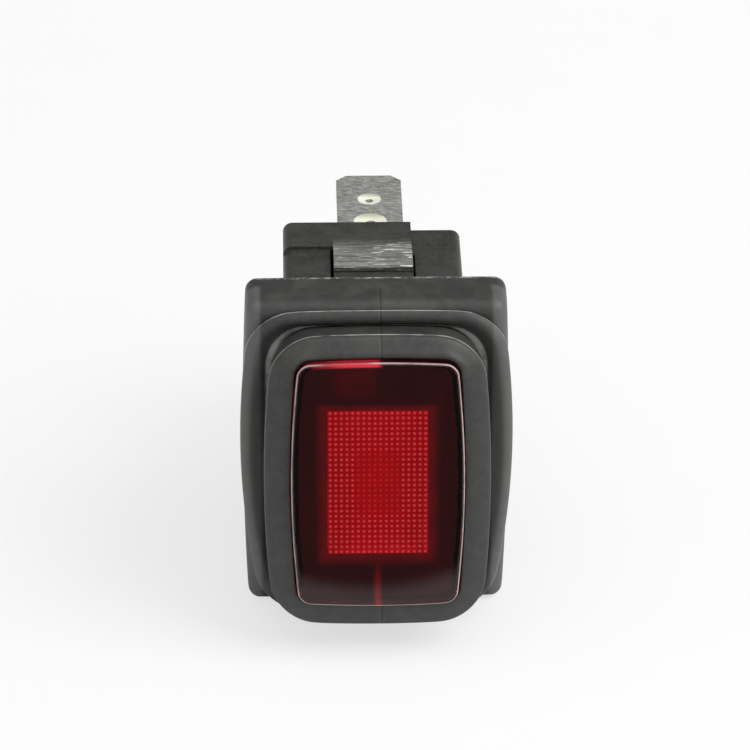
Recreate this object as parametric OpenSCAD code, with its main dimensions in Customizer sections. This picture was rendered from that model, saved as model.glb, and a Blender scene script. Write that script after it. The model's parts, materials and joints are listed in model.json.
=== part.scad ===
// Sealed panel rocker switch with an illuminated rocker, snapped into a rectangular cut-out.
// X runs across the switch, +Z along the rocker, and -Y out of the panel towards the finger.
// The origin is the middle of the panel face that the rubber lip seats on (y = 0).
// Shapes that tilt with the rocker are given by their height above the pivot, towards -Y.

/* [Panel body] */
// Width of the body that passes through the cut-out
body_w = 12.8; // [12:0.1:14]
// Height of the body that passes through the cut-out
body_l = 19; // [18.6:0.1:21]
// Depth of the body behind the panel face
body_d = 12.9; // [12:0.1:18]
// Corner radius of the body
body_r = 0.7; // [0.5:0.1:1.5]
// Thickness of the side walls
side_wall = 1.2; // [1:0.05:1.4]
// Thickness of the end walls under their raised pads
end_wall = 1; // [0.9:0.05:1.1]
// Height of the raised pads over the end walls
pad_h = 0.7; // [0.4:0.05:0.9]
// Depth of the raised band at the rear edge
band_d = 3.6; // [3:0.1:4.5]
// Drop from the band to the flat beside the arm
flat_drop = 0.3; // [0.1:0.05:0.4]

/* [Snap arms] */
// Width of each snap arm
arm_w = 5.65; // [4:0.05:6.4]
// Distance from the panel face to the free end of the arm
arm_start = 5.6; // [5:0.1:6.5]
// Thickness of the arm at its root
arm_t = 0.85; // [0.6:0.05:1]
// How far the arm stands out over the body at its free end
arm_rise = 0.35; // [0.1:0.05:0.6]
// Width of the slot round the arm
arm_slot = 0.2; // [0.15:0.05:0.4]
// Number of grip ridges across the arm
ridges = 5; // [3:1:7]
// Height of a grip ridge
ridge_h = 0.15; // [0.05:0.01:0.2]

/* [Bezel and rubber flange] */
// Width of the plastic bezel
bezel_w = 15; // [14.8:0.1:17]
// Height of the plastic bezel
bezel_l = 21.2; // [21:0.1:23]
// Thickness of the plastic bezel
bezel_t = 1.4; // [1:0.1:2]
// Corner radius of the bezel
bezel_r = 1; // [0.6:0.1:1.4]
// Rubber in front of the bezel
rubber_front = 1.4; // [1:0.05:1.8]
// Rubber behind the bezel, which seals on the panel
rubber_lip = 1.3; // [0.8:0.05:1.6]
// Rubber round the edge of the bezel
rubber_edge = 1.6; // [1.3:0.05:2]
// Bow of the long sides of the flange
flange_bow = 0.3; // [0:0.05:0.5]
// Rounding of the front edge of the flange
flange_round = 1; // [0.5:0.05:1.1]

/* [Bellows] */
// Width of the bellows crest at its ends
crest_w = 16.9; // [16.6:0.05:17.3]
// Height of the bellows crest
crest_l = 23.3; // [23:0.1:23.6]
// Bow of the long sides of the crest
crest_bow = 1.15; // [0.8:0.05:1.3]
// Share of its width that the fold gains at the squeezed end and loses at the stretched end
fold_lean = 0.04; // [0:0.01:0.05]
// Height of the crest above the rubber face, at the pivot
crest_h = 1.7; // [1.5:0.05:1.9]
// Corner radius of the bellows
crest_r = 3; // [2.4:0.1:3.4]
// Wall thickness of the bellows
bellows_t = 0.65; // [0.5:0.05:0.75]

/* [Rocker] */
// Tilt of the rocker at rest, with its upper end pressed in
rest_tilt = 10; // [8:0.5:11]
// Depth of the pivot behind the rubber face
pivot_in = 0.7; // [0.5:0.05:0.9]
// Diameter of the pivot pins
pivot_d = 2; // [1.6:0.05:2.2]
// Radial clearance of the pivot pins
pivot_gap = 0.05; // [0.03:0.01:0.1]
// Width of the rubber rim at its ends
rim_w = 14.6; // [14.4:0.1:15]
// Height of the rubber rim
rim_l = 21.05; // [20.8:0.05:21.6]
// Shift of the rim towards the stretched end
rim_shift = 0.2; // [0:0.05:0.25]
// Bow of the long sides of the rim
rim_bow = 0.65; // [0.4:0.05:0.8]
// Height of the outer edge of the rim above the pivot
rim_h = 5.75; // [5.5:0.05:5.9]
// Thickness of the rocker cap that the rim grips
cap_t = 1.2; // [1:0.05:1.3]

/* [Lens] */
// Width of the lens at its ends
lens_w = 11.05; // [10.8:0.05:11.4]
// Height of the lens at its sides
lens_l = 17.7; // [17.1:0.1:18.2]
// Bow of the long sides of the lens
lens_bow = 0.55; // [0.2:0.05:0.6]
// Bow of the short sides of the lens
lens_arch = 0.2; // [0:0.05:0.3]
// Height of the front of the lens above the pivot
lens_h = 6.9; // [6.8:0.05:7.4]
// Rounding of the front edge of the lens
lens_round = 0.2; // [0.1:0.05:0.3]
// Wall thickness of the lens
lens_t = 0.5; // [0.4:0.05:0.6]
// Thickness of the front of the lens
lens_roof = 0.85; // [0.75:0.05:1.1]
// Width of the light window
window_w = 7.1; // [6:0.1:7.2]
// Height of the light window
window_l = 10.65; // [9.6:0.05:11]
// Thickness of the light window plate
window_t = 0.6; // [0.5:0.05:0.8]

/* [Terminals] */
// Width of a terminal blade
blade_w = 4.8; // [4:0.1:5.2]
// Thickness of a terminal blade
blade_t = 0.8; // [0.5:0.05:0.8]
// Length of a blade behind the body
blade_out = 10.95; // [8:0.05:13]
// Chamfer at the corners of a blade tip
tip_chamfer = 1.15; // [0.8:0.05:1.4]
// Distance of the first hole from the tip
hole_in = 4.1; // [3.6:0.1:4.6]
// Distance between the two holes of a blade
hole_pitch = 3.45; // [3:0.05:4]
// Thickness of the inner shelf of a terminal
shelf_t = 0.7; // [0.5:0.05:0.9]

/* [Contact mechanism] */
// Reach of the plunger tip from the pivot
plunger_reach = 10; // [9.8:0.05:10.1]
// Diameter of the plunger
plunger_d = 2.96; // [2.6:0.02:3.1]
// Length of the plunger behind the rocker's stem
plunger_out = 3.4; // [3.2:0.05:3.8]
// Length of the plunger held in the stem
plunger_in = 2.3; // [1.8:0.1:2.8]
// Radial clearance of the plunger in its bore
plunger_gap = 0.07; // [0.03:0.01:0.1]
// Radius of the pivot edge of the contact bridge
edge_r = 0.2; // [0.15:0.01:0.25]
// Tilt of the contact bridge at rest
bridge_tilt = 8; // [6:0.5:9]
// Thickness of the contact bridge
bridge_t = 0.6; // [0.4:0.05:0.6]
// Width of the contact bridge
bridge_w = 2.6; // [2:0.1:2.8]
// Distance of the contacts from the end blades, towards the middle
contact_in = 2.35; // [2.1:0.05:2.6]
// Diameter of the contact heads
contact_d = 2.2; // [1.8:0.1:2.4]
// Thickness of the moving contact head
contact_t = 0.5; // [0.3:0.05:0.6]
// Thickness of the fixed contact head
head_t = 0.9; // [0.6:0.05:1]
// Gap left between things that only touch
touch_gap = 0.05; // [0.03:0.01:0.08]

/* [Lamp] */
// Diameter of the neon lamp
lamp_d = 2.4; // [2:0.1:2.5]
// Room left in the tray beyond the ends of the neon lamp, for its leads
lamp_room = 1.45; // [1.4:0.05:1.9]
// Diameter of the resistor
resistor_d = 1.6; // [1.3:0.1:1.7]
// Length of the resistor
resistor_l = 3.4; // [3:0.1:4]
// Diameter of the lamp leads
lead_d = 0.45; // [0.35:0.05:0.5]
// Offset of the lamp springs from the middle
seat_x = 2.4; // [2.3:0.05:2.5]
// Distance of the lamp spring seats from the end of the body's cavity
seat_in = 1.4; // [1.3:0.02:1.4]
// Outer diameter of a lamp spring
lamp_spring_d = 1.7; // [1.4:0.1:1.8]

/* [Hidden] */
$fn = 48;
eps = 0.01;
cut = 1;

// Places along Y
flange_t = rubber_lip + bezel_t + rubber_front;
face_y = -flange_t;
pivot_y = face_y + pivot_in;
bezel_front = -(rubber_lip + bezel_t);
bridge_y = pivot_y + plunger_reach + touch_gap + bridge_t;
shelf_y = bridge_y + contact_t + touch_gap + head_t;
base_front = shelf_y + shelf_t;
tip_y = body_d + blade_out;

// Half sizes of the body and its cavity
core_hl = body_l / 2 - pad_h;
cavity_hw = body_w / 2 - side_wall;
cavity_hl = core_hl - end_wall;
base_step = 0.4;
base_gap = 0.05;
blade_pitch = cavity_hl - touch_gap - blade_t / 2;
contact_z = blade_pitch - contact_in;
seat_z = cavity_hl - seat_in;
collar_d = 3;
shelf_land = 0.3;

// Rocker parts, as heights above the pivot
rim_front = rim_h + 0.55;
cap_front = rim_h - 0.65;
cap_back = cap_front - cap_t;
deck_front = lens_h - lens_roof - touch_gap;
cap_hw = rim_w / 2 - 0.75;
cap_hl = rim_l / 2 - 0.65;
cap_bow = rim_bow - 0.1;
deck_hw = lens_w / 2 - lens_t;
deck_hl = lens_l / 2 - lens_t;
tub_floor = 0.75;
tub_wall = 0.7;
tray_t = 0.4;
lamp_gap = 0.15;
lamp_h = deck_front - window_t - touch_gap - lamp_d / 2;
tub_back = lamp_h - lamp_d / 2 - lamp_gap - tray_t - tub_floor;
seat_wall = 0.5;
seat_r = lamp_spring_d / 2 + 0.1;
tray_hw = 3.85;
tray_hl = seat_z - seat_r - 0.1;
lamp_l = 2 * (tray_hl - touch_gap - tray_t - lamp_room);
cheek_t = 1.2;
cheek_out = cavity_hw - 0.1;
ear_r = pivot_d / 2 + 1;
cheek_hl = ear_r + 1.2;
stem_wall = 0.75;
bore_r = plunger_d / 2 + plunger_gap;
stem_back = plunger_out - plunger_reach;
bore_top = tub_back - 0.5;
plunger_top = stem_back + plunger_in;
seat_depth = 2.3;
seat_mouth = lamp_h - seat_depth;
spring_in = 0.6;
lead_off = 0.7;
lead_drop = 0.75;
lamp_tip = 0.5;
lamp_shift = 0.2;
lamp_x = lead_off - seat_x;
lead_reach = seat_z + 0.6;
link_end = seat_x - resistor_d / 2;
link_z = -lamp_l / 2 - lamp_shift - lead_drop;
sleeve_l = 1.3;
sleeve_t = 0.15;

// Terminal details
tip_bevel = 0.4;
sink = 0.15;
lug_x = bridge_w / 2 + 0.15;
lug_t = 0.6;
lug_back = 2;
lug_hl = 1.05;
lug_tip = 0.3;

// Extrudes a front-view outline from depth y0 to depth y1
module along_y(y0, y1) {
    translate([0, y1, 0]) rotate([90, 0, 0]) linear_extrude(y1 - y0) children();
}

// Extrudes a side-view outline, drawn as (y, z), from x0 to x1
module along_x(x0, x1) {
    translate([x0, 0, 0]) rotate([90, 0, 90]) linear_extrude(x1 - x0) children();
}

// Extrudes a front-view outline between two heights above the pivot
module between(h0, h1) {
    along_y(-h1, -h0) children();
}

// Puts a part drawn about the pivot at the rest tilt of the rocker
module in_rocker() {
    translate([0, pivot_y, 0]) rotate([-rest_tilt, 0, 0]) children();
}

// Puts a part drawn about the bridge pivot at its rest tilt
module in_bridge() {
    translate([0, bridge_y, 0]) rotate([bridge_tilt, 0, 0]) children();
}

module rounded(w, l, r) {
    for (sx = [-1, 1], sz = [-1, 1]) translate([sx * (w / 2 - r), sz * (l / 2 - r)]) circle(r);
    square([w - 2 * r, l], center = true);
    square([w, l - 2 * r], center = true);
}

// Bowed outline with rounded corners, as points (x, z) that match one to one between sizes
ARC = 6;
SIDE = 4;
function corner(q) = [[1, 1], [-1, 1], [-1, -1], [1, -1]][q];
function bow(p, hw, hl, bw, bl) = [
    p[0] * (1 + bw / hw * (1 - pow(p[1] / hl, 2))),
    p[1] * (1 + bl / hl * (1 - pow(p[0] / hw, 2)))];
function arc_point(q, k, hw, hl, r) = [
    corner(q)[0] * (hw - r) + r * cos(90 * q + 90 * k / ARC),
    corner(q)[1] * (hl - r) + r * sin(90 * q + 90 * k / ARC)];
function outline(hw, hl, r, bw = 0, bl = 0) = [
    for (q = [0:3]) each concat(
        [for (k = [0:ARC]) bow(arc_point(q, k, hw, hl, r), hw, hl, bw, bl)],
        [for (s = [1:SIDE - 1]) bow(
            arc_point(q, ARC, hw, hl, r) * (1 - s / SIDE) + arc_point((q + 1) % 4, 0, hw, hl, r) * s / SIDE,
            hw, hl, bw, bl)])];

// One ring of a moulding: an outline at height h above the pivot, in a plane tilted by t;
// its size is half width, half height, corner radius, two bows, the share of the width gained
// at the upper end, and a shift towards the lower end
function ring(s, h, t = 0) = [
    for (p = outline(s[0], s[1], s[2], s[3], s[4]))
        let (z = p[1] - s[6])
        [p[0] * (1 + s[5] * p[1] / s[1]), pivot_y - h * cos(t) + z * sin(t), z * cos(t) + h * sin(t)]];
function size(hw, hl, r, bow_x = 0, bow_z = 0, lean = 0, shift = 0) = [hw, hl, r, bow_x, bow_z, lean, shift];
function grow(s, d) = size(s[0] + d, s[1] + d, max(s[2] + d, 0.1), s[3], s[4], s[5], s[6]);

// Skin through a row of rings, closed into a loop or capped at both ends
module skin(rings, loop = false) {
    n = len(rings[0]);
    m = len(rings);
    last = loop ? m - 1 : m - 2;
    sides = [for (i = [0:last], j = [0:n - 1])
        let (k = (i + 1) % m, j2 = (j + 1) % n)
        each [[i * n + j, i * n + j2, k * n + j], [i * n + j2, k * n + j2, k * n + j]]];
    caps = loop ? [] : [[for (j = [n - 1:-1:0]) j], [for (j = [0:n - 1]) (m - 1) * n + j]];
    polyhedron(points = [for (r = rings) each r], faces = concat(sides, caps), convexity = 6);
}

// Coil spring along +Y from y = 0, with a closed turn at each end
module coil(d, wire, len_y, turns, steps = 12, sides = 5) {
    r = (d - wire) / 2;
    dead = wire * 1.04;
    pitch = (len_y - wire - 2 * dead) / (turns - 2);
    function along(t) = wire / 2 + (t < 1 ? dead * t : t > turns - 1 ?
        len_y - wire - dead * (turns - t) : dead + pitch * (t - 1));
    n = steps * turns;
    points = [for (i = [0:n], k = [0:sides - 1])
        let (t = i / steps, a = 360 * k / sides, rr = r + wire / 2 * cos(a))
        [rr * cos(360 * t), along(t) + wire / 2 * sin(a), rr * sin(360 * t)]];
    skins = [for (i = [0:n - 1], k = [0:sides - 1])
        let (k2 = (k + 1) % sides, a = i * sides, b = a + sides)
        each [[a + k, b + k, a + k2], [a + k2, b + k, b + k2]]];
    ends = [[for (k = [0:sides - 1]) k], [for (k = [sides - 1:-1:0]) n * sides + k]];
    polyhedron(points = points, faces = concat(skins, ends), convexity = 8);
}

// Body with bezel, pivot ears and two snap arms, in one moulding
module housing() {
    color([0.13, 0.13, 0.125]) {
        difference() {
            union() {
                along_y(bezel_front, -rubber_lip) rounded(bezel_w - 2 * touch_gap, bezel_l - 2 * touch_gap, bezel_r);
                along_y(-rubber_lip - eps, body_d) rounded(body_w, 2 * core_hl, body_r);
                along_y(-rubber_lip - eps, collar_d) rounded(body_w, body_l, body_r);
                end_pads();
                pivot_ears();
            }
            along_y(bezel_front - cut, base_front) square([2 * cavity_hw, 2 * cavity_hl], center = true);
            along_y(base_front, body_d + cut)
                square([2 * (cavity_hw + base_step), 2 * (cavity_hl + base_step)], center = true);
            for (sz = [-1, 1]) arm_window(sz);
            along_x(-body_w, body_w) translate([pivot_y, 0]) circle(pivot_d / 2 + pivot_gap);
        }
        for (sz = [-1, 1]) snap_arm(sz);
    }
}

// Raised band round the rear edge, the sill in front of each arm and the flat on the arm's left
module end_pads() {
    intersection() {
        union() {
            along_y(body_d - band_d, body_d) rounded(body_w, body_l, body_r);
            along_y(0, arm_start - arm_slot) square([arm_w, body_l], center = true);
            along_y(0, body_d) intersection() {
                rounded(body_w, body_l - 2 * flat_drop, body_r);
                translate([-body_w, -body_l]) square([body_w - arm_w / 2 - arm_slot, 2 * body_l]);
            }
        }
        difference() {
            cube([2 * body_w, 4 * body_d, 2 * body_l], center = true);
            translate([arm_w / 2, collar_d, 0]) cube([body_w, body_d, body_l]);
        }
    }
}

// Rounded ears that carry the rocker pins in front of the bezel
module pivot_ears() {
    for (sx = [-1, 1]) along_x(sx < 0 ? -body_w / 2 : cavity_hw, sx < 0 ? -cavity_hw : body_w / 2) {
        translate([pivot_y, 0]) circle(ear_r);
        translate([pivot_y, -ear_r]) square([bezel_front - pivot_y + bezel_t / 2, 2 * ear_r]);
    }
}

module arm_window(sz) {
    z0 = sz > 0 ? cavity_hl - cut : -body_l / 2 - cut;
    along_y(arm_start - arm_slot, body_d - band_d)
        translate([-arm_w / 2 - arm_slot, z0]) square([arm_w + 2 * arm_slot, end_wall + pad_h + 2 * cut]);
}

// Sprung arm whose ridged free end catches behind the panel
module snap_arm(sz) {
    root = body_d - band_d;
    top = body_l / 2;
    slope = arm_rise / (root - arm_start);
    step = (root - arm_start - 0.5) / ridges;
    crest = [for (i = [0:ridges - 1]) let (y = root - 0.35 - i * step) each [
        [y, top + (root - y) * slope],
        [y - step * 0.45, top + (root - y + step * 0.45) * slope + ridge_h],
        [y - step * 0.9, top + (root - y + step * 0.9) * slope]]];
    profile = concat([[root + 0.2, top - arm_t], [root + 0.2, top - eps], [root, top]], crest,
        [[arm_start, top + arm_rise - 0.1], [arm_start, top - arm_t + arm_rise / 2]]);
    along_x(-arm_w / 2, arm_w / 2) polygon([for (p = profile) [p[0], sz * p[1]]]);
}

// Rear block that closes the body and holds the blades
module base() {
    color([0.15, 0.15, 0.145]) difference() {
        along_y(base_front, body_d)
            square([2 * (cavity_hw + base_step - base_gap), 2 * (cavity_hl + base_step - base_gap)], center = true);
        for (i = [-1, 0, 1]) along_y(base_front - cut, body_d + cut) translate([0, i * blade_pitch])
            square([blade_w + 2 * base_gap, blade_t + 2 * base_gap], center = true);
    }
}

// Rubber moulding: flange round the bezel, one bellows fold, and the rim round the lens
module rubber_boot() {
    opening = size(body_w / 2 + touch_gap, body_l / 2 + touch_gap, body_r);
    pocket = size(bezel_w / 2, bezel_l / 2, bezel_r);
    flange = size(bezel_w / 2 + rubber_edge, bezel_l / 2 + rubber_edge, 0.9, flange_bow);
    crest = size(crest_w / 2, crest_l / 2, crest_r, crest_bow, 0.15, fold_lean);
    rim = size(rim_w / 2, rim_l / 2, crest_r, rim_bow, 0.25, 0, rim_shift);
    lens_hole = size(lens_w / 2 + touch_gap, lens_l / 2 + touch_gap, 0.9, lens_bow, lens_arch);
    grip = size(cap_hw + touch_gap, cap_hl + touch_gap, crest_r - 0.8, cap_bow, 0.2);
    half = rest_tilt / 2;
    top = pivot_in + crest_h;
    back = pivot_y;
    front = pivot_in;
    r = flange_round;
    color([0.16, 0.16, 0.155]) skin([
        ring(opening, back),
        ring(grow(flange, -0.25), back),
        ring(grow(flange, -0.05), back + 0.08),
        ring(flange, back + 0.3),
        ring(flange, front - r),
        for (a = [30, 60, 90]) ring(grow(flange, r * (cos(a) - 1)), front - r + r * sin(a)),
        ring(grow(crest, -0.5), front, 0),
        ring(grow(crest, -0.12), front + 0.35 * crest_h, half * 0.5),
        ring(crest, front + 0.62 * crest_h, half * 0.8),
        ring(grow(crest, -0.1), top - 0.3, half),
        ring(grow(crest, -0.35), top - 0.07, half),
        ring(grow(crest, -0.65), top, half),
        ring(grow(crest, -0.95), top - 0.1, half),
        ring(grow(rim, -0.1), top - 0.45, half * 1.2),
        ring(grow(rim, -0.3), top - 0.25, half * 1.5),
        ring(grow(rim, -0.12), top + 0.6, rest_tilt),
        ring(rim, rim_h - 0.45, rest_tilt),
        ring(grow(rim, -0.06), rim_h - 0.18, rest_tilt),
        ring(grow(rim, -0.25), rim_h, rest_tilt),
        ring(grow(rim, -0.8), rim_h + 0.3, rest_tilt),
        ring(grow(lens_hole, 0.35), rim_front - 0.02, rest_tilt),
        ring(grow(lens_hole, 0.1), rim_front, rest_tilt),
        ring(lens_hole, rim_front - 0.1, rest_tilt),
        ring(lens_hole, cap_front + touch_gap, rest_tilt),
        ring(grip, cap_front + touch_gap, rest_tilt),
        ring(grip, cap_back - touch_gap, rest_tilt),
        ring(grow(grip, -0.5), cap_back - touch_gap, rest_tilt),
        ring(grow(grip, -0.5), cap_back - 0.55, rest_tilt),
        ring(grow(rim, -0.3 - bellows_t), top - 0.35 - bellows_t, half * 1.4),
        ring(grow(rim, -0.1 - bellows_t), top - 0.6 - bellows_t, half * 1.2),
        ring(grow(crest, -1.1), top - 0.1 - bellows_t, half),
        ring(grow(crest, -0.1 - bellows_t), front + 0.45 * crest_h, half * 0.8),
        ring(grow(pocket, -0.5), front - rubber_front * 0.5, 0),
        ring(grow(pocket, -0.6), front - rubber_front, 0),
        ring(pocket, front - rubber_front),
        ring(pocket, back + rubber_lip),
        ring(opening, back + rubber_lip)], loop = true);
}

// Rocker body: cap, deck under the lens, lamp tub, pivot pins, plunger stem and spring seats
module rocker_frame() {
    color([0.1, 0.1, 0.1]) in_rocker() difference() {
        union() {
            between(cap_back, cap_front) polygon(outline(cap_hw, cap_hl, crest_r - 0.8, cap_bow, 0.2));
            between(cap_front - eps, deck_front) polygon(outline(deck_hw, deck_hl, 0.7, lens_bow, lens_arch));
            between(tub_back, cap_back + eps) rounded(2 * (tray_hw + tub_wall), 2 * (tray_hl + tub_wall), 1);
            for (sx = [-1, 1]) cheek(sx);
            rotate([0, 90, 0]) cylinder(d = pivot_d, h = body_w - 0.3, center = true);
            between(stem_back, tub_back + eps) circle(bore_r + stem_wall);
            for (s = [-1, 1]) translate([s * seat_x, 0, s * seat_z])
                between(seat_mouth, cap_back + eps) circle(seat_r + seat_wall);
        }
        between(tub_back + tub_floor, deck_front - window_t)
            square([2 * tray_hw, 2 * tray_hl], center = true);
        between(deck_front - window_t - eps, deck_front + cut) square([window_w, window_l], center = true);
        between(stem_back - cut, bore_top) circle(bore_r);
        for (s = [-1, 1]) translate([s * seat_x, 0, s * seat_z]) {
            between(seat_mouth - cut, lamp_h + lead_d / 2 + touch_gap) circle(seat_r);
            lead_groove(s);
        }
    }
}

// Side arm from the cap down to the pivot pin
module cheek(sx) {
    along_x(sx > 0 ? cheek_out - cheek_t : -cheek_out, sx > 0 ? cheek_out : cheek_t - cheek_out) {
        circle(ear_r - 0.2);
        polygon([[-cap_back - eps, -cheek_hl], [-cap_back - eps, cheek_hl], [-0.4, ear_r - 0.3], [-0.4, 0.3 - ear_r]]);
    }
}

// Slot from the lamp tub to the spring seat, for the lamp lead
module lead_groove(s) {
    w = lead_d + 0.2;
    translate([-w / 2, -lamp_h - w / 2, s > 0 ? tray_hl - seat_z - eps : -lead_reach + seat_z - 0.3])
        cube([w, w, lead_reach - tray_hl + 0.3]);
}

// Red cover over the deck, open at the back
module lens() {
    outer = size(lens_w / 2, lens_l / 2, 0.85, lens_bow, lens_arch);
    inner = size(deck_hw + touch_gap, deck_hl + touch_gap, 0.7, lens_bow, lens_arch);
    roof = deck_front + touch_gap;
    color([0.45, 0.03, 0.05]) skin([
        ring(inner, roof, rest_tilt),
        ring(inner, cap_front + touch_gap, rest_tilt),
        ring(outer, cap_front + touch_gap, rest_tilt),
        for (a = [0:22.5:90])
            ring(grow(outer, lens_round * (cos(a) - 1)), lens_h - lens_round * (1 - sin(a)), rest_tilt)]);
}

// Diffusing plate in the window of the deck
module light_window() {
    color([0.85, 0.1, 0.12]) in_rocker()
        between(deck_front - window_t, deck_front)
            square([window_w - 2 * touch_gap, window_l - 2 * touch_gap], center = true);
}

// White tray that holds the lamp and throws its light forward
module lamp_tray() {
    hw = tray_hw - touch_gap;
    hl = tray_hl - touch_gap;
    back = tub_back + tub_floor;
    color([0.9, 0.9, 0.87]) in_rocker() difference() {
        between(back, deck_front - window_t - touch_gap) square([2 * hw, 2 * hl], center = true);
        between(back + tray_t, deck_front) square([2 * (hw - tray_t), 2 * (hl - tray_t)], center = true);
        for (s = [-1, 1]) translate([s * seat_x - lead_d, -deck_front, s > 0 ? hl - tray_t - eps : -hl - cut])
            cube([2 * lead_d, deck_front - lamp_h + lead_d, tray_t + eps + cut]);
    }
}

// Glass tube with a pinched tip, two leads at its lower end
module neon_lamp() {
    color([0.95, 0.6, 0.45]) in_rocker() translate([lamp_x, -lamp_h, -lamp_l / 2 - lamp_shift]) {
        cylinder(d = lamp_d, h = lamp_l - lamp_tip);
        translate([0, 0, lamp_l - lamp_tip - eps]) cylinder(d1 = lamp_d, d2 = lamp_tip, h = lamp_tip);
        translate([-lead_off, 0, -(lead_reach - lamp_l / 2 - lamp_shift)])
            cylinder(d = lead_d, h = lead_reach - lamp_l / 2);
        translate([lead_off, 0, -lead_drop]) cylinder(d = lead_d, h = lead_drop + lamp_shift);
        translate([lead_off, 0, -lead_drop]) rotate([0, 90, 0])
            cylinder(d = lead_d, h = link_end - lamp_x - lead_off);
    }
}

// Small resistor in line with the upper spring seat
module resistor() {
    color([0.75, 0.62, 0.45]) in_rocker() translate([seat_x, -lamp_h, 0]) {
        translate([0, 0, -resistor_l / 2]) cylinder(d = resistor_d, h = resistor_l);
        translate([0, 0, link_z]) cylinder(d = lead_d, h = lead_reach - link_z);
        translate([link_end - seat_x + touch_gap, 0, link_z]) rotate([0, 90, 0])
            cylinder(d = lead_d, h = resistor_d / 2 - touch_gap);
        translate([0, 0, link_z]) sphere(d = lead_d);
    }
}

// Insulating sleeve over the joint of the lamp lead and the resistor lead
module lead_sleeve() {
    bore = lead_d / 2 + 0.04;
    color([0.85, 0.83, 0.75]) in_rocker()
        translate([link_end - 0.7 * sleeve_l, -lamp_h, link_z]) rotate([0, 90, 0]) difference() {
            cylinder(r = bore + sleeve_t, h = sleeve_l);
            translate([0, 0, -cut]) cylinder(r = bore, h = sleeve_l + 2 * cut);
        }
}

// Sliding plunger with a rounded tip that rides on the contact bridge
module plunger() {
    tip_r = 1;
    color([0.93, 0.93, 0.9]) in_rocker() {
        between(-plunger_reach + tip_r + 0.35, plunger_top) circle(plunger_d / 2);
        translate([0, plunger_reach - tip_r, 0]) {
            sphere(tip_r);
            rotate([90, 0, 0]) cylinder(r = tip_r, h = 0.4);
        }
        between(plunger_top - eps, plunger_top + 1.1) circle(plunger_d / 2 - 0.75);
    }
}

module plunger_spring() {
    color([0.75, 0.75, 0.76]) in_rocker() translate([0, -bore_top + touch_gap, 0])
        coil(plunger_d - 0.2, 0.35, bore_top - plunger_top - 2 * touch_gap, 7);
}

// Rocking contact bar, a shallow V with two pivot ears
module contact_bridge() {
    upper = contact_z + contact_d / 2 + 0.1;
    lower = contact_z - 0.8;
    slope = tan(bridge_tilt);
    color([0.8, 0.55, 0.3]) in_bridge() difference() {
        union() {
            along_x(-bridge_w / 2, bridge_w / 2) polygon([[0, 0], [-upper * slope, upper],
                [-upper * slope - bridge_t, upper], [-bridge_t, 0], [-lower * slope - bridge_t, -lower],
                [-lower * slope, -lower]]);
            along_x(-lug_x - lug_t, lug_x + lug_t) {
                circle(edge_r);
                translate([-bridge_t, -edge_r]) square([bridge_t, 2 * edge_r]);
            }
        }
        rivet_place() translate([0, 0, -2 * bridge_t]) cylinder(d = contact_d / 2 + 2 * touch_gap, h = 4 * bridge_t);
    }
}

// Puts a rivet square to the upper arm of the bridge, with +Z through the arm to the rear
module rivet_place() {
    translate([0, -contact_z * tan(bridge_tilt), contact_z]) rotate([bridge_tilt - 90, 0, 0]) children();
}

module moving_contact() {
    tail_t = 0.2;
    color([0.86, 0.86, 0.86]) in_bridge() rivet_place() {
        cylinder(d = contact_d, h = contact_t);
        translate([0, 0, -bridge_t - tail_t]) cylinder(d = contact_d / 2, h = bridge_t + tail_t + eps);
        translate([0, 0, -bridge_t - tail_t]) cylinder(d = contact_d * 0.75, h = tail_t);
    }
}

module fixed_contact() {
    color([0.86, 0.86, 0.86]) translate([0, shelf_y, contact_z]) rotate([-90, 0, 0]) {
        translate([0, 0, -head_t]) cylinder(d = contact_d, h = head_t);
        translate([0, 0, -eps]) cylinder(d = contact_d / 2, h = shelf_t);
    }
}

// Flat blade from the base to its tip, with a bevelled tip and two sunk holes
module blade(y0) {
    hw = blade_w / 2;
    difference() {
        intersection() {
            linear_extrude(2 * blade_t, center = true) polygon([[-hw, y0], [hw, y0], [hw, tip_y - tip_chamfer],
                [hw - tip_chamfer, tip_y], [tip_chamfer - hw, tip_y], [-hw, tip_y - tip_chamfer]]);
            along_x(-blade_w, blade_w) polygon([[y0, -blade_t / 2], [y0, blade_t / 2],
                [tip_y - tip_bevel, blade_t / 2], [tip_y, blade_t / 5], [tip_y, -blade_t / 5],
                [tip_y - tip_bevel, -blade_t / 2]]);
        }
        sunk_hole(tip_y - hole_in, 0.85, 0.28);
        sunk_hole(tip_y - hole_in - hole_pitch, 1.2, 0.4);
    }
}

module sunk_hole(y, r_top, r) {
    translate([0, y, -blade_t]) cylinder(r = r, h = 2 * blade_t);
    translate([0, y, blade_t / 2 - sink]) cylinder(r1 = r, r2 = r_top, h = sink + eps);
}

// Centre blade with the forked saddle that the bridge rocks on
module terminal_common() {
    color([0.78, 0.78, 0.76]) {
        blade(base_front - eps);
        along_y(shelf_y, base_front) square([blade_w, 2 * lug_back], center = true);
        for (sx = [-1, 1]) along_x(sx > 0 ? lug_x : -lug_x - lug_t, sx > 0 ? lug_x + lug_t : -lug_x)
            saddle();
    }
}

// Side view of a lug, with a round-bottomed notch for the edge of the bridge
module saddle() {
    notch_r = edge_r + touch_gap;
    front = bridge_y - bridge_t;
    difference() {
        translate([front, -lug_hl]) square([shelf_y + eps - front, 2 * lug_hl]);
        translate([bridge_y, 0]) circle(notch_r);
        polygon([[bridge_y, -notch_r], [bridge_y, notch_r], [front, lug_hl - lug_tip], [front - cut, lug_hl - lug_tip],
            [front - cut, lug_tip - lug_hl], [front, lug_tip - lug_hl]]);
    }
}

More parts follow.
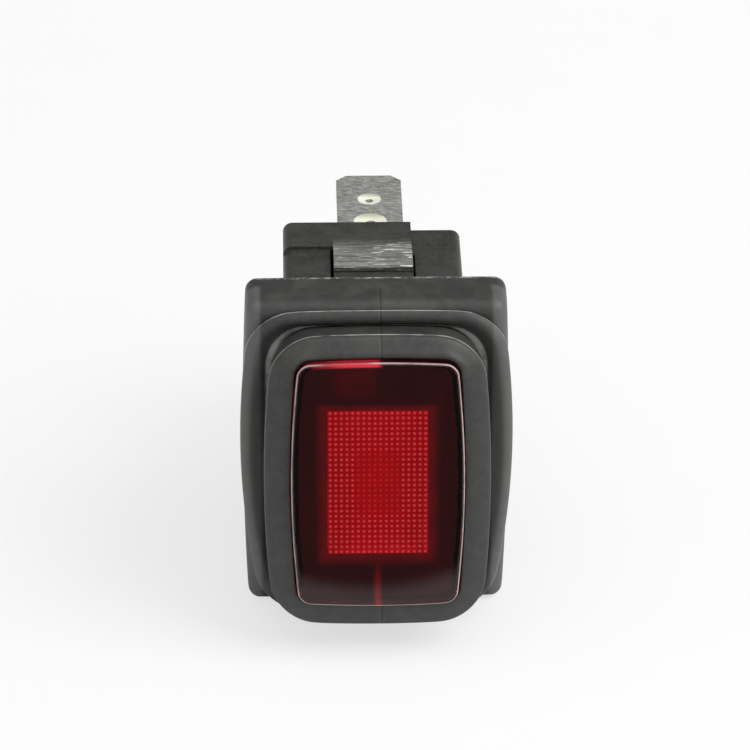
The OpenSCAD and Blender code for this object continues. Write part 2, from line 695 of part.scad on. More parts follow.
// End blade with a shelf for the fixed contact and the upper lamp spring
module terminal_load() {
    color([0.78, 0.78, 0.76]) {
        translate([0, 0, blade_pitch]) blade(base_front - eps);
        difference() {
            shelf(1, contact_z - contact_d / 2 - shelf_land);
            along_y(shelf_y - cut, base_front + cut) translate([0, contact_z])
                circle(d = contact_d / 2 + 2 * touch_gap);
        }
    }
}

// End blade with a shelf for the lower lamp spring
module terminal_lamp() {
    color([0.78, 0.78, 0.76]) {
        translate([0, 0, -blade_pitch]) blade(base_front - eps);
        shelf(-1, seat_z - lamp_spring_d / 2 - shelf_land);
    }
}

module shelf(s, z_in) {
    near = 0.4 - blade_w / 2;
    far = seat_x + lamp_spring_d / 2 + 0.2;
    z_out = cavity_hl - touch_gap;
    w = far - near;
    translate([s > 0 ? near : -far, shelf_y, s > 0 ? z_in : -z_out]) cube([w, shelf_t, z_out - z_in]);
}

// Spring from the shelf of an end blade to the seat in the rocker
module lamp_spring(s) {
    h = seat_mouth + spring_in;
    seat_y = pivot_y - h * cos(rest_tilt) + s * seat_z * sin(rest_tilt);
    z = s * seat_z * cos(rest_tilt) + h * sin(rest_tilt);
    color([0.8, 0.72, 0.45]) translate([s * seat_x, seat_y, z])
        coil(lamp_spring_d, 0.25, shelf_y - seat_y - touch_gap, 13, 10);
}

module upper_lamp_spring() {
    lamp_spring(1);
}

module lower_lamp_spring() {
    lamp_spring(-1);
}

housing();
base();
rubber_boot();
rocker_frame();
lens();
light_window();
lamp_tray();
neon_lamp();
resistor();
lead_sleeve();
plunger();
plunger_spring();
contact_bridge();
moving_contact();
fixed_contact();
terminal_common();
terminal_load();
terminal_lamp();
upper_lamp_spring();
lower_lamp_spring();
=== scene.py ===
"""A sealed panel rocker switch: black body, rubber boot with a fold, lit red lens and tinned blades."""
import json
import math

import bpy
from mathutils import Matrix, Vector


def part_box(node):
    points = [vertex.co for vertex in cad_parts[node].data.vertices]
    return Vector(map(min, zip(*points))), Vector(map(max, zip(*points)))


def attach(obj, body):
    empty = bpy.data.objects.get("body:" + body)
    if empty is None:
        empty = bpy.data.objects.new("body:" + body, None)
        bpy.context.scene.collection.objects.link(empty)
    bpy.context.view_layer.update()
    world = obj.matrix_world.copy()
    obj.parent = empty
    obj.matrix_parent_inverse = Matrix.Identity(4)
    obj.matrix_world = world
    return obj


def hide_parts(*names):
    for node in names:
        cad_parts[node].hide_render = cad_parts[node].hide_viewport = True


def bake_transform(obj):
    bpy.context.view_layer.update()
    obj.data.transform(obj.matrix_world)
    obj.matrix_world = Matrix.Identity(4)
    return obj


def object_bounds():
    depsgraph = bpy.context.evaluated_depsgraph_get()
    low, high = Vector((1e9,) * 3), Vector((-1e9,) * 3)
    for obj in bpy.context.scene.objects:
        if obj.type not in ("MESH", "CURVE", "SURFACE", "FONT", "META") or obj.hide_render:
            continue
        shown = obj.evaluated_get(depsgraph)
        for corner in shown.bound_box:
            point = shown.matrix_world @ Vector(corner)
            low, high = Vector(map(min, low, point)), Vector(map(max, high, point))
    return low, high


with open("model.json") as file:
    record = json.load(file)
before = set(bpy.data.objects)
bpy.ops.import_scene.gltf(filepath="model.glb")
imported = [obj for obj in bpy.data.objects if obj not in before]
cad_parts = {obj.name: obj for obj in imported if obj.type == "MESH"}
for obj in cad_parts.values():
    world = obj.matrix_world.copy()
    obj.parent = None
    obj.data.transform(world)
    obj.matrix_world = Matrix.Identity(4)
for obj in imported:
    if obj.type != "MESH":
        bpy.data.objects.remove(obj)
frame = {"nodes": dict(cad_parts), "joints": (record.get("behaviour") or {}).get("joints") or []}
nodes = frame["nodes"]
cad_low, cad_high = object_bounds()

MM = 0.001
joint_of = {joint["name"]: joint for joint in frame["joints"]}
pivot = Vector(joint_of["rocker_tilt"]["pos_m"])
rest_tilt = math.radians(joint_of["rocker_tilt"]["range_deg"][1] / 2)


# ---------------------------------------------------------------- modelling helpers

def deselect():
    bpy.ops.object.select_all(action="DESELECT")


def take(piece):
    """Makes piece the one selected and active object."""
    deselect()
    piece.select_set(True)
    bpy.context.view_layer.objects.active = piece
    return piece


def edit(select="DESELECT"):
    bpy.ops.object.mode_set(mode="EDIT")
    bpy.ops.mesh.select_all(action=select)


def leave():
    bpy.ops.object.mode_set(mode="OBJECT")


def apply_modifier(piece, kind, **settings):
    take(piece)
    modifier = piece.modifiers.new(kind.lower(), kind)
    for name, value in settings.items():
        setattr(modifier, name, value)
    bpy.ops.object.modifier_apply(modifier=modifier.name)


def moulding_from(node, name, levels, held=()):
    """A copy of a CAD moulding, merged, made of quads and rounded by subdivision.

    Insets of the widths in held keep its front flat.
    """
    piece = bpy.data.objects.new(name, nodes[node].data.copy())
    bpy.context.scene.collection.objects.link(piece)
    piece.data.materials.clear()
    take(piece)
    edit("SELECT")
    bpy.ops.mesh.remove_doubles(threshold=1e-6)
    bpy.ops.mesh.dissolve_limited(angle_limit=math.radians(0.5))
    bpy.ops.mesh.select_all(action="DESELECT")
    bpy.ops.mesh.select_mode(type="FACE")
    if held:
        leave()
        front = max(piece.data.polygons, key=lambda polygon: polygon.area * (polygon.normal.y < -0.9))
        front.select = True
        bpy.ops.object.mode_set(mode="EDIT")
        for thickness in held:
            bpy.ops.mesh.inset(thickness=thickness)
    bpy.ops.mesh.select_all(action="SELECT")
    bpy.ops.mesh.tris_convert_to_quads(face_threshold=math.radians(60), shape_threshold=math.radians(80))
    leave()
    apply_modifier(piece, "SUBSURF", levels=levels, render_levels=levels)
    bpy.ops.object.shade_smooth()
    return piece


def settle(piece):
    """Applies the object's place, so that the finished piece sits at the origin."""
    take(piece)
    bpy.ops.object.transform_apply(location=True, rotation=True, scale=True)
    return piece


# ---------------------------------------------------------------- materials

class Value:
    """A number socket with arithmetic, so that shader maths reads as an expression."""

    def __init__(self, shade, socket):
        self.shade = shade
        self.socket = socket

    def maths(self, operation, *others):
        return self.shade.number("ShaderNodeMath", {"operation": operation}, (self,) + others)

    def __add__(self, other):
        return self.maths("ADD", other)

    def __radd__(self, other):
        return self.maths("ADD", other)

    def __sub__(self, other):
        return self.maths("SUBTRACT", other)

    def __rsub__(self, other):
        return self.shade.number("ShaderNodeMath", {"operation": "SUBTRACT"}, (other, self))

    def __mul__(self, other):
        return self.maths("MULTIPLY", other)

    def __rmul__(self, other):
        return self.maths("MULTIPLY", other)

    def __truediv__(self, other):
        return self.maths("DIVIDE", other)

    def size(self):
        return self.maths("ABSOLUTE")

    def ramp(self, low, high):
        """0 below low, 1 above high, smooth between."""
        settings = {"interpolation_type": "SMOOTHSTEP"}
        return self.shade.number("ShaderNodeMapRange", settings, (self, low, high, 0.0, 1.0))


class Nodes:
    """A node tree and a vector to read places from."""

    def __init__(self, tree, place):
        self.tree = tree
        self.place = place

    def node(self, kind, settings=None, inputs=None):
        made = self.tree.nodes.new(kind)
        for name, value in (settings or {}).items():
            setattr(made, name, value)
        for name, value in (inputs or {}).items():
            self.feed(made.inputs[name], value)
        return made

    def feed(self, socket, value):
        if isinstance(value, Value):
            value = value.socket
        if isinstance(value, bpy.types.NodeSocket):
            self.tree.links.new(value, socket)
        else:
            socket.default_value = value

    def number(self, kind, settings, inputs):
        made = self.node(kind, settings)
        for socket, value in zip(made.inputs, inputs):
            self.feed(socket, value)
        return Value(self, made.outputs[0])

    def axes(self, vector=None):
        split = self.node("ShaderNodeSeparateXYZ", inputs={"Vector": vector or self.place})
        return [Value(self, split.outputs[axis]) for axis in "XYZ"]

    def turned(self, origin=(0, 0, 0), angle=0.0, scale=(1, 1, 1)):
        """Coordinates about origin, turned back by angle about X."""
        moved = self.node("ShaderNodeVectorMath", {"operation": "SUBTRACT"}, {0: self.place, 1: origin})
        turning = {"Vector": moved.outputs[0], "Rotation": (angle, 0, 0), "Scale": scale}
        return self.node("ShaderNodeMapping", inputs=turning).outputs[0]

    def noise(self, scale, detail=3.0, roughness=0.55, vector=None):
        made = self.node("ShaderNodeTexNoise", inputs={
            "Vector": vector or self.place, "Scale": scale, "Detail": detail, "Roughness": roughness})
        return Value(self, made.outputs[0])

    def colours(self, mask, low, high):
        """Blends colour low into colour high by mask."""
        made = self.node("ShaderNodeMix", {"data_type": "RGBA"}, {0: mask})
        self.feed(made.inputs[6], low)
        self.feed(made.inputs[7], high)
        return made.outputs[2]


class Shade(Nodes):
    """One material: its nodes, its principled shader and its coordinates."""

    def __init__(self, name, attribute=None, **constants):
        self.material = bpy.data.materials.new(name)
        self.material.use_nodes = True
        super().__init__(self.material.node_tree, None)
        self.shader = self.tree.nodes["Principled BSDF"]
        for socket, value in constants.items():
            self.shader.inputs[socket.replace("_", " ")].default_value = value
        if attribute:
            self.place = self.node("ShaderNodeAttribute", {"attribute_name": attribute}).outputs["Vector"]
        else:
            self.place = self.node("ShaderNodeTexCoord").outputs["Object"]

    def bump(self, height, strength, distance, normal=None):
        relief = {"Height": height, "Strength": strength, "Distance": distance}
        made = self.node("ShaderNodeBump", inputs=relief)
        if normal:
            self.feed(made.inputs["Normal"], normal)
        return made.outputs[0]

    def soft_edges(self, radius):
        return self.node("ShaderNodeBevel", {"samples": 6}, {"Radius": radius}).outputs[0]

    def over(self, mask, other):
        """Lays another shader over this one by mask."""
        mixed = self.node("ShaderNodeMixShader", inputs={0: mask, 1: self.shader.outputs[0], 2: other})
        self.tree.links.new(mixed.outputs[0], self.tree.nodes["Material Output"].inputs[0])

    def set(self, **inputs):
        for name, value in inputs.items():
            self.feed(self.shader.inputs[name.replace("_", " ")], value)
        return self.material


def grey(level):
    """A grey a little on the warm green side, as the black mouldings are."""
    return (level * 0.98, level, level * 0.95, 1)


def band(value, at, half):
    """1 within half of at, fading to 0 at twice that distance."""
    return (value - at).size().ramp(2 * half, half * 0.6)


def rubber_finish():
    """Satin black rubber: grain, dust, ragged fins and parting line, with painted highlights as pale lines
    on the widest edges of the rim and the fold and on the rear edge, and painted light on the shaded sides
    of the fold.
    """
    shade = Shade("black_rubber", "rest_place", IOR=1.5)
    x, y, z = shade.axes()
    rim_depth = shade.axes(shade.turned(pivot, rest_tilt))[1]
    fold_depth = shade.axes(shade.turned(pivot, fold_tilt))[1]
    grain = shade.noise(5200, 2)
    cloud = shade.noise(300, 4)
    mottle = shade.noise(1100, 3, 0.6)
    speck = shade.noise(3800, 4, 0.7).ramp(0.6, 0.74)
    highlight_breakup = shade.noise(600, 3).ramp(0.25, 0.6)
    dust = z.ramp(7 * MM, 12 * MM) * shade.noise(420, 4, 0.6).ramp(0.42, 0.66)
    front = 1 - y.ramp(seam_end - 0.8 * MM, seam_end)
    seam = band(x, 0.12 * MM, 0.05 * MM) * front
    groove = band(x, 0.26 * MM, 0.05 * MM) * front
    # Painted highlight: pale lines on the widest edges of the rim and of the fold, where those edges catch
    # the light.
    edge_highlight = band(rim_depth, -rim_edge, 0.06 * MM) + band(fold_depth, -fold_edge, 0.07 * MM)
    # Ragged fins of excess rubber along the rear edge, painted pale also as the highlight that edge catches.
    outer_sides = (x.size() - flange_high.x).ramp(-0.45 * MM, -0.3 * MM)
    outer_ends = (z.size() - flange_high.z).ramp(-0.3 * MM, -0.15 * MM)
    ragged = shade.noise(2600, 4, 0.7).ramp(0.42, 0.62)
    flash_and_highlight = y.ramp(-0.5 * MM, -0.32 * MM) * (outer_sides + outer_ends) * ragged
    base = shade.colours(cloud, grey(0.016), grey(0.030))
    base = shade.colours(mottle.ramp(0.4, 0.7) * 0.5, base, grey(0.040))
    base = shade.colours(grain.ramp(0.35, 0.7) * 0.3, base, grey(0.045))
    base = shade.colours(dust * 0.5, base, (0.062, 0.066, 0.050, 1))
    base = shade.colours(speck * 0.3, base, grey(0.07))
    # Painted light: the sides of the fold are made paler to lift the shade of the valley beside the rim.
    lit_fold_sides = x.size().ramp(rim_half, rim_half + 0.35 * MM)
    lit_fold_sides = lit_fold_sides * (1 - y.ramp(fold_root - 0.5 * MM, fold_root))
    base = shade.colours(lit_fold_sides * (mottle * 0.3 + 0.7), base, grey(0.10))
    base = shade.colours(seam * 0.3, base, grey(0.07))
    base = shade.colours(groove * 0.7, base, grey(0.006))
    # The painted highlight lines, broken up by noise.
    base = shade.colours(edge_highlight * highlight_breakup * 0.85, base, grey(0.42))
    base = shade.colours(flash_and_highlight * 0.85, base, grey(0.34))
    height = grain * 0.35 + seam * 0.6 - groove * 0.6 + flash_and_highlight * 0.8 + mottle * 0.4
    normal = shade.bump(height, 0.35, 0.03 * MM)
    return shade.set(Base_Color=base, Roughness=cloud * 0.14 + 0.44, Normal=normal)


def body_finish():
    """Moulded black polyamide, brownish and streaked; the face of each snap arm is painted pale, partly
    scuffs and mostly the sheen it catches, with painted highlights streaked along its ridges, brighter to
    the right.
    """
    shade = Shade("body_plastic", IOR=1.5)
    x, y, z = shade.axes()
    grain = shade.noise(3600, 3)
    cloud = shade.noise(420, 4, 0.6)
    arm = 1 - x.size().ramp(arm_half - soft, arm_half + soft)
    arm = arm * z.size().ramp(arm_face - soft, arm_face + soft)
    arm = arm * y.ramp(arm_front - soft, arm_front + soft)
    arm = arm * (1 - y.ramp(arm_root - 0.3 * MM, arm_root + 1.2 * MM))
    flow = shade.noise(1, 4, 0.65, shade.turned((0, 0, 0), 0, (300, 5200, 5200)))
    dash = shade.noise(1, 3, 0.6, shade.turned((0, 0, 0), 0, (900, 9000, 9000)))
    # Painted highlight strength, growing towards the right, where the light falls.
    right = x.ramp(-1.5 * MM, 2.6 * MM) * 0.6 + 0.4
    speck = shade.noise(4200, 4, 0.7)
    base = shade.colours(cloud.ramp(0.35, 0.65), (0.018, 0.017, 0.013, 1), grey(0.036))
    base = shade.colours(grain.ramp(0.4, 0.7) * 0.5, base, grey(0.055))
    base = shade.colours(flow.ramp(0.5, 0.75) * 0.4, base, grey(0.075))
    # Painted sheen and scuffs: the arm face is painted lighter, mostly for the light it catches from above;
    # pale streaks and specks then paint highlights on its ridges.
    scuff_and_sheen = shade.colours(flow.ramp(0.35, 0.65), grey(0.08), grey(0.24))
    base = shade.colours(arm * 0.85, base, scuff_and_sheen)
    base = shade.colours(arm * dash.ramp(0.56, 0.66) * right, base, grey(0.75))
    base = shade.colours(arm * speck.ramp(0.62, 0.74) * 0.6, base, grey(0.5))
    height = grain * 0.6 + arm * (flow + dash) * 1.2
    normal = shade.bump(height, 0.3, 0.04 * MM, shade.soft_edges(0.08 * MM))
    return shade.set(Base_Color=base, Roughness=cloud * 0.15 + 0.42, Normal=normal)


def deck_finish():
    """Black frame of the rocker, with the lamp's light painted on as emission round the window, along the
    knit line, on a patch above the left of the window and on the left of its end wall.
    """
    shade = Shade("frame_plastic", IOR=1.3)
    x, _, z = shade.axes(shade.turned(pivot, rest_tilt))
    across = x.size()
    grain = shade.noise(2400, 3)
    patchy = shade.noise(900, 2) * 0.7 + 0.4
    beside = 1 - across.ramp(window_high.x + 0.1 * MM, window_high.x + 1.0 * MM)
    above = 1 - z.ramp(window_half + 0.1 * MM, window_half + 0.6 * MM)
    below = z.ramp(-window_half - 1.0 * MM, -window_half - 0.1 * MM)
    halo = beside * above * below
    knit = across.ramp(knit_half, 0.0) * z.ramp(-window_half, -deck_top)
    patch = x.ramp(-3.2 * MM, -2.6 * MM) * (1 - x.ramp(-0.4 * MM, 0.1 * MM))
    patch = patch * z.ramp(window_half + 0.5 * MM, window_half + 1.5 * MM)
    wall = z + x * x * (lens_arch / deck_side ** 2) - deck_top
    end_wall = wall.ramp(-0.1 * MM, -0.03 * MM) * (1 - x.ramp(-0.1 * MM, 0.5 * MM))
    end_wall = end_wall * (x.ramp(-4.5 * MM, -1.4 * MM) * 0.8 + 0.2)
    # Painted lamp light: red emission on the frame round the window, along the knit line, on the patch and
    # on the end wall.
    light = halo * patchy * 0.10 + knit * 0.14 + patch * patchy * 0.03
    base = shade.colours(grain, (0.026, 0.018, 0.018, 1), (0.044, 0.030, 0.030, 1))
    glow = shade.colours(light, (0, 0, 0, 1), (1, 0.04, 0.06, 1))
    glow = shade.colours(end_wall, glow, (0.5, 0.06, 0.09, 1))
    roughness = grain * 0.2 + 0.5
    return shade.set(Base_Color=base, Roughness=roughness, Emission_Color=glow, Emission_Strength=1.0)


def lens_finish():
    """Polished dark red polycarbonate, clear enough to show the window behind it, with pale highlights
    painted on its rounded edge and the lamp's light painted as a glow along its knit line and at its top
    end.
    """
    shade = Shade("red_lens", IOR=1.45, Transmission_Weight=1.0)
    x, depth, z = shade.axes(shade.turned(pivot, rest_tilt))
    cloud = shade.noise(700, 4)
    along = shade.turned(pivot, rest_tilt, (9000, 400, 400))
    scratch = shade.noise(1, 3, 0.6, along).ramp(0.62, 0.8)
    base = shade.colours(cloud, (0.66, 0.085, 0.10, 1), (0.72, 0.11, 0.125, 1))
    knit = x.size().ramp(knit_half, 0.0) * z.ramp(-deck_top + 0.3 * MM, -deck_top)
    behind = depth + lens_front
    edge = behind.ramp(0.17 * MM, 0.12 * MM) * (1 - behind.ramp(0.05 * MM, 0.02 * MM))
    # Painted highlight: a pale, rougher shader laid over the rounded edge, broken up by noise and held back
    # at the lit part of the top end.
    lit_end = z.ramp(0.86 * lens_half, 0.9 * lens_half) * x.ramp(0.0, -1 * MM) * x.ramp(-4.6 * MM, -3.4 * MM)
    highlight_breakup = (shade.noise(500, 3, 0.6).ramp(0.2, 0.6) * 0.4 + 0.3) * (1 - lit_end * 0.85)
    edge_highlight_inputs = {"Base Color": (0.62, 0.42, 0.42, 1), "Roughness": 0.4}
    edge_highlight = shade.node("ShaderNodeBsdfPrincipled", inputs=edge_highlight_inputs)
    shade.over(edge * highlight_breakup, edge_highlight.outputs[0])
    # Painted lamp light: emission along the knit line and a red glow across the top end, left of centre.
    glow = shade.colours(knit, (0, 0, 0, 1), (0.08, 0.004, 0.006, 1))
    end = z.ramp(0.952 * lens_half, 0.975 * lens_half) * x.ramp(0.3 * MM, -0.1 * MM)
    end = end * (x.ramp(-5.2 * MM, -2.4 * MM) * 0.85 + 0.15)
    glow = shade.colours(end, glow, (0.24, 0.011, 0.018, 1))
    roughness = scratch * 0.06 + 0.02
    return shade.set(Base_Color=base, Roughness=roughness, Emission_Color=glow, Emission_Strength=1.0)


def grid_finish():
    """Red diffuser of domed cells, with the light of the lamp behind it painted as emission, brighter in the
    middle, and a pale spot painted on every dome where that light shows brightest.
    """
    shade = Shade("red_diffuser", IOR=1.4)
    x, _, z = shade.axes(shade.turned(pivot, rest_tilt))
    cloud = shade.noise(520, 3)
    tone = shade.noise(2300, 2)
    across = (x / cell_width + grid_columns).maths("FRACT") - 0.5
    along = (z / cell_length + grid_rows).maths("FRACT") - 0.5
    # Painted light: a pale spot on each dome, in base colour and emission, where the lamp's light shows
    # brightest.
    dome_light_spot = (across * across + along * along).maths("SQRT").ramp(0.34, 0.14) * (tone * 0.7 + 0.5)
    # Painted lamp light: emission, brighter towards the middle of the window.
    middle = x.size().ramp(window_high.x, window_high.x * 0.3)
    light = middle * 0.25 + cloud * 0.4 + 0.4
    base = shade.colours(dome_light_spot, (0.24, 0.004, 0.006, 1), (0.4, 0.08, 0.1, 1))
    red = shade.colours(light, (0.06, 0.001, 0.002, 1), (0.36, 0.006, 0.012, 1))
    glow = shade.colours(dome_light_spot * 0.8, red, (0.54, 0.13, 0.18, 1))
    roughness = cloud * 0.1 + 0.3
    return shade.set(Base_Color=base, Roughness=roughness, Emission_Color=glow, Emission_Strength=1.0)


def tin_finish():
    """Dull tin plate on brass: short rolling marks and pits, with the rims round the sunk holes painted
    cream and less metallic as the highlight their countersinks catch, and painted shade on the far arc of
    each rim.
    """
    shade = Shade("tinned_brass")
    x, y, _ = shade.axes()
    roll = shade.noise(1, 4, 0.65, shade.turned((0, 0, 0), 0, (1800, 6200, 3000)))
    pits = shade.noise(6200, 4, 0.75)
    cloud = shade.noise(520, 3)
    base = shade.colours(roll.ramp(0.3, 0.7), (0.35, 0.357, 0.33, 1), (0.84, 0.85, 0.80, 1))
    base = shade.colours(cloud.ramp(0.45, 0.7) * 0.35, base, (0.40, 0.38, 0.26, 1))
    base = shade.colours((1 - cloud).ramp(0.5, 0.7) * 0.3, base, (0.26, 0.30, 0.34, 1))
    base = shade.colours(pits.ramp(0.55, 0.66) * 0.6, base, (0.07, 0.07, 0.06, 1))
    bright_spots = (1 - pits).ramp(0.58, 0.68) * 0.6
    base = shade.colours(bright_spots, base, (0.8, 0.8, 0.66, 1))
    # Rims of the sunk holes: a painted highlight, cream and less metallic, on each countersink, with painted
    # shade on its far arc toward the tip.
    rim = 0.0
    upper = 0.0
    for at, radius, bore in hole_rims:
        far = (x * x + (y - at) * (y - at)).maths("SQRT")
        ring = 1 - far.ramp(radius - 0.05 * MM, radius + 0.08 * MM)
        ring = ring * far.ramp(bore - 0.02 * MM, bore + 0.04 * MM)
        rim = ring + rim
        upper = ring * (y - at).ramp(bore * 0.8, radius * 0.95) + upper
    rim = rim * (1 - pits.ramp(0.58, 0.68) * 0.6)
    base = shade.colours(rim * 0.95, base, (0.98, 0.98, 0.84, 1))
    base = shade.colours(upper * 0.7, base, (0.3, 0.3, 0.17, 1))
    normal = shade.bump(roll * 0.7 + pits, 0.5, 0.02 * MM, shade.soft_edges(0.05 * MM))
    return shade.set(Base_Color=base, Metallic=0.85 - rim * 0.6, Roughness=roll * 0.2 + 0.34, Normal=normal)


def plain_finish(name, low, high, roughness, grain, metallic):
    """A small inner part: two close tones, a grain and a little relief."""
    shade = Shade(name, Metallic=metallic)
    tone = shade.noise(grain, 3)
    base = shade.colours(tone, low + (1,), high + (1,))
    normal = shade.bump(tone, 0.2, 0.02 * MM)
    return shade.set(Base_Color=base, Roughness=tone * 0.15 + roughness, Normal=normal)


# Nodes, then name, low tone, high tone, roughness, grain and metallic of their finish
PLAIN_FINISHES = (
    (("lamp_tray", "plunger"), "white_plastic", (0.74, 0.74, 0.7), (0.84, 0.84, 0.8), 0.4, 900, 0.0),
    (("neon_lamp",), "lamp_glass", (0.9, 0.45, 0.3), (0.95, 0.6, 0.42), 0.05, 800, 0.0),
    (("resistor",), "resistor_body", (0.5, 0.34, 0.18), (0.62, 0.45, 0.26), 0.3, 1500, 0.0),
    (("lead_sleeve",), "sleeve_plastic", (0.7, 0.66, 0.5), (0.8, 0.76, 0.62), 0.5, 1500, 0.0),
    (("moving_contact", "fixed_contact"), "silver_contact",
     (0.75, 0.75, 0.74), (0.88, 0.88, 0.87), 0.18, 1800, 1.0),
    (("contact_bridge",), "copper_alloy", (0.6, 0.3, 0.13), (0.78, 0.44, 0.22), 0.28, 1600, 1.0),
    (("plunger_spring",), "spring_steel", (0.5, 0.5, 0.5), (0.66, 0.66, 0.66), 0.25, 2600, 1.0),
    (("upper_lamp_spring", "lower_lamp_spring"), "bronze_spring",
     (0.5, 0.38, 0.16), (0.68, 0.54, 0.28), 0.25, 2600, 1.0),
)


# ---------------------------------------------------------------- places measured on the solids

def about_pivot(node, tilt=rest_tilt):
    """Corners of a CAD node in a plane tilted about the pivot, by default the plane of the rocker."""
    return [Matrix.Rotation(tilt, 3, "X") @ (corner.co - pivot) for corner in nodes[node].data.vertices]


def edge_height(tilt, low, high):
    """Height above the pivot at which the boot is widest, between two heights, in a tilted plane."""
    corners = [corner for corner in about_pivot("rubber_boot", tilt) if low < -corner.y < high]
    return -max(corners, key=lambda corner: corner.x).y


# Window and its grid of cells
window_low, window_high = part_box("light_window")
window_half = (window_high.z - window_low.z) / 2 / math.cos(rest_tilt)
grid_columns, grid_rows = 18, 28
cell_width = (window_high.x - window_low.x) / grid_columns
cell_length = 2 * window_half / grid_rows
relief = 0.12 * MM

# Deck and lens of the rocker
deck_corners = about_pivot("rocker_frame")
deck_front = -min(corner.y for corner in deck_corners)
deck_face = [corner for corner in deck_corners if -corner.y > deck_front - 0.1 * MM]
deck_top = max(corner.z for corner in deck_face)
deck_side = max(corner.x for corner in deck_face)
lens_corners = about_pivot("lens")
lens_front = -min(corner.y for corner in lens_corners)
lens_half = max(corner.z for corner in lens_corners)
lens_arch = 0.2 * MM
knit_half = 0.4 * MM

# Rubber boot: outer edges of the rim and of the fold, corner of the flange, reach of the parting line
fold_tilt = rest_tilt * 0.4
rim_edge = edge_height(rest_tilt, 4.5 * MM, 10 * MM)
fold_edge = edge_height(fold_tilt, 1.2 * MM, 2.5 * MM)
lip = [corner.co for corner in nodes["rubber_boot"].data.vertices if corner.co.y > -1 * MM]
flange_high = Vector((max(corner.x for corner in lip), 0, max(corner.z for corner in lip)))
rim_half = 7.9 * MM
seam_end = -1.4 * MM
fold_root = -1.2 * MM

# Blades: place along Y, outer radius and bore of the rims of the two sunk holes
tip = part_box("terminal_load")[1].y
first_hole, hole_pitch = 4.1 * MM, 3.45 * MM
hole_rims = ((tip - first_hole, 0.85 * MM, 0.28 * MM), (tip - first_hole - hole_pitch, 1.2 * MM, 0.4 * MM))

# Snap arms: half width, free end, root, outer face and softness of the border of the part painted with
# scuffs and sheen
arm_half, arm_front, arm_root, arm_face, soft = 2.825 * MM, 5.6 * MM, 9.3 * MM, 9.47 * MM, 0.05 * MM


# ---------------------------------------------------------------- the pieces

def make_boot():
    """Rubber moulding with its bellows between the body and the rocker, smoothed, with its rest places
    stored on its points.
    """
    piece = moulding_from("rubber_boot", "rubber_boot_moulding", 2)
    piece.data.materials.append(rubber_finish())
    place = piece.data.attributes.new("rest_place", "FLOAT_VECTOR", "POINT")
    place.data.foreach_set("vector", [value for vertex in piece.data.vertices for value in vertex.co])
    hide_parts("rubber_boot")
    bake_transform(piece)


def make_lens():
    """Lens with its front held flat and its edge rounded."""
    piece = moulding_from("lens", "lens_cover", 2, held=(0.04 * MM, 0.35 * MM))
    piece.data.materials.append(lens_finish())
    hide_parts("lens")
    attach(piece, "rocker")


def make_grid():
    """Window plate covered with square domes, in rows and columns."""
    place = Matrix.Translation(pivot) @ Matrix.Rotation(-rest_tilt, 4, "X")
    heights = [-(place.inverted() @ vertex.co).y for vertex in nodes["light_window"].data.vertices]
    back = min(heights)
    thickness = max(heights) - back - relief
    deselect()
    bpy.ops.mesh.primitive_cube_add(size=1, location=(0, 0, 0))
    cell = bpy.context.object
    cell.name = "window_grid"
    cell.scale = (cell_width, thickness, cell_length)
    cell.location = (window_low.x + cell_width / 2, -back - thickness / 2, cell_length / 2 - window_half)
    settle(cell)
    edit()
    leave()
    for polygon in cell.data.polygons:
        polygon.select = polygon.normal.y < -0.5
    bpy.ops.object.mode_set(mode="EDIT")
    bpy.ops.mesh.select_mode(type="FACE")
    bpy.ops.mesh.inset(thickness=0.025 * MM)
    bpy.ops.mesh.extrude_region_move(TRANSFORM_OT_translate={"value": (0, -0.07 * MM, 0)})
    bpy.ops.transform.resize(value=(0.78, 1, 0.78))
    bpy.ops.mesh.extrude_region_move(TRANSFORM_OT_translate={"value": (0, -0.04 * MM, 0)})
    bpy.ops.transform.resize(value=(0.6, 1, 0.6))
    leave()
    for axis, count, pitch in ((0, grid_columns, cell_width), (2, grid_rows, cell_length)):
        step = [0, 0, 0]
        step[axis] = pitch
        apply_modifier(cell, "ARRAY", count=count, use_relative_offset=False, use_constant_offset=True,
                       constant_offset_displace=step, use_merge_vertices=True, merge_threshold=1e-6)
    cell.matrix_world = place
    settle(cell)
    cell.data.materials.append(grid_finish())
    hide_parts("light_window")
    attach(cell, "rocker")


def dress(node, material):
    nodes[node].data.materials.clear()
    nodes[node].data.materials.append(material)


def dress_frame():
    body = body_finish()
    dress("housing", body)
    dress("base", body)
    dress("rocker_frame", deck_finish())
    tin = tin_finish()
    for node in ("terminal_common", "terminal_load", "terminal_lamp"):
        dress(node, tin)
    for inner, *finish in PLAIN_FINISHES:
        material = plain_finish(*finish)
        for node in inner:
            dress(node, material)


# ---------------------------------------------------------------- studio

def make_floor():
    """Pale table that fades out before the switch, so that only the foot of the lens mirrors it."""
    front, reach, back, side = cad_low.y - 0.029, 0.04, 3.0, 2.0
    deselect()
    bpy.ops.mesh.primitive_plane_add(size=1, location=(0, (front - reach + back) / 2, cad_low.z))
    floor = bpy.context.object
    floor.name = "studio_floor"
    floor.scale = (2 * side, back - front + reach, 1)
    settle(floor)
    shade = Shade("pale_floor", Specular_IOR_Level=0.0, Roughness=1.0)
    mottle = shade.noise(160, 3)
    glow = shade.node("ShaderNodeEmission", inputs={"Color": (0.975, 0.965, 0.97, 1), "Strength": 1.0})
    seen = shade.node("ShaderNodeLightPath").outputs["Is Camera Ray"]
    shade.over(Value(shade, seen) * 0.68, glow.outputs[0])
    x, y, _ = shade.axes()
    kept = (y + x * x * 130.0).ramp(front - 1 * MM, front + 7 * MM)
    base = shade.colours(mottle, (0.88, 0.872, 0.876, 1), (0.91, 0.902, 0.906, 1))
    floor.data.materials.append(shade.set(Base_Color=base, Alpha=kept))


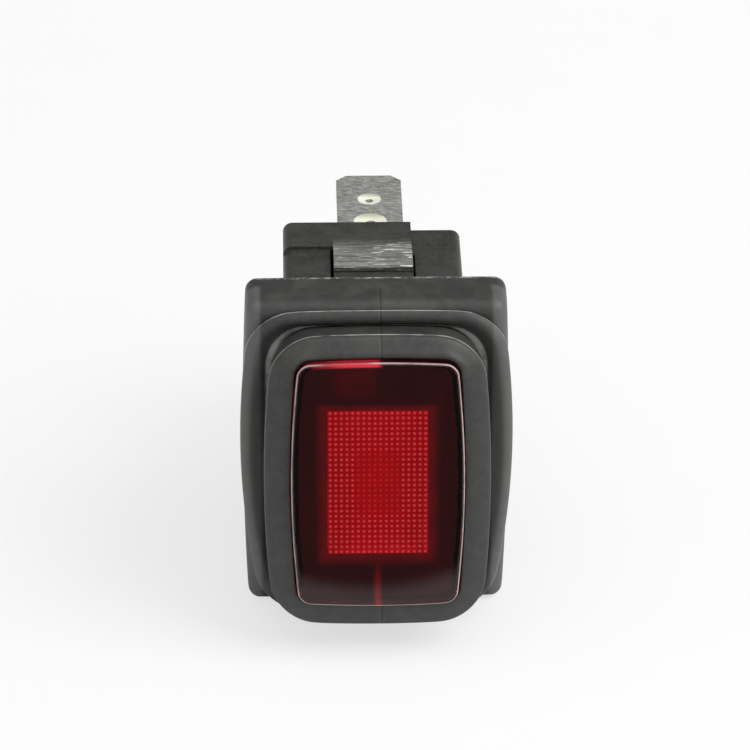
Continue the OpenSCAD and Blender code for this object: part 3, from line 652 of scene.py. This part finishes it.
def area_light(name, place, size, power, target=(0, 0, 0)):
    light = bpy.data.lights.new(name, "AREA")
    light.shape = "RECTANGLE"
    light.size, light.size_y = size
    light.energy = power
    lamp = bpy.data.objects.new(name, light)
    lamp.location = place
    lamp.rotation_euler = (Vector(target) - Vector(place)).to_track_quat("-Z", "Y").to_euler()
    bpy.context.scene.collection.objects.link(lamp)


def make_light():
    """Pale room with a dark patch that the lens mirrors, a dim wall behind, and a softbox on the right."""
    world = bpy.data.worlds.new("studio_world")
    world.use_nodes = True
    sky = Nodes(world.node_tree, None)
    background = sky.tree.nodes["Background"]
    _, y, z = sky.axes(sky.node("ShaderNodeTexCoord").outputs["Generated"])
    mirrored = (y * -0.985 - z * 0.17).ramp(0.95, 0.98)
    behind = y.ramp(0.1, 0.45) * z.ramp(-0.1, 0.2) * (1 - z.ramp(0.75, 0.92))
    room, ceiling, wall, patch = [(level, level, level, 1) for level in (0.8, 1.2, 0.22, 0.12)]
    colour = sky.colours(z.ramp(0.75, 0.95), room, ceiling)
    colour = sky.colours(behind, colour, wall)
    colour = sky.colours(mirrored, colour, patch)
    sky.feed(background.inputs["Color"], colour)
    background.inputs["Strength"].default_value = 1.0
    bpy.context.scene.world = world
    area_light("right_softbox", (0.3, -0.12, 0.35), (0.3, 0.3), 1.4)


def make_camera():
    """Long lens from the front, 30 degrees above the switch and a little to its left."""
    elevation, swing, roll = math.radians(30), math.radians(1.4), math.radians(-0.25)
    distance, aside, lift = 0.35, 0.09 * MM, 5.46 * MM
    level = math.cos(elevation)
    forward = Vector((math.sin(swing) * level, math.cos(swing) * level, -math.sin(elevation)))
    right = Vector((math.cos(swing), -math.sin(swing), 0))
    up = right.cross(forward)
    face = Vector((0, -3.7 * MM, 0))
    camera = bpy.data.cameras.new("camera")
    camera.lens = 238.6
    camera.sensor_width = 36
    camera.clip_start = 0.01
    eye = bpy.data.objects.new("camera", camera)
    eye.location = face - forward * distance - right * aside + up * lift
    turn = Matrix.Rotation(roll, 3, forward) @ forward.to_track_quat("-Z", "Y").to_matrix()
    eye.rotation_euler = turn.to_euler()
    bpy.context.scene.collection.objects.link(eye)
    bpy.context.scene.camera = eye


dress_frame()
make_boot()
make_lens()
make_grid()
make_floor()
make_light()
make_camera()
bpy.context.scene.view_settings.view_transform = "Standard"
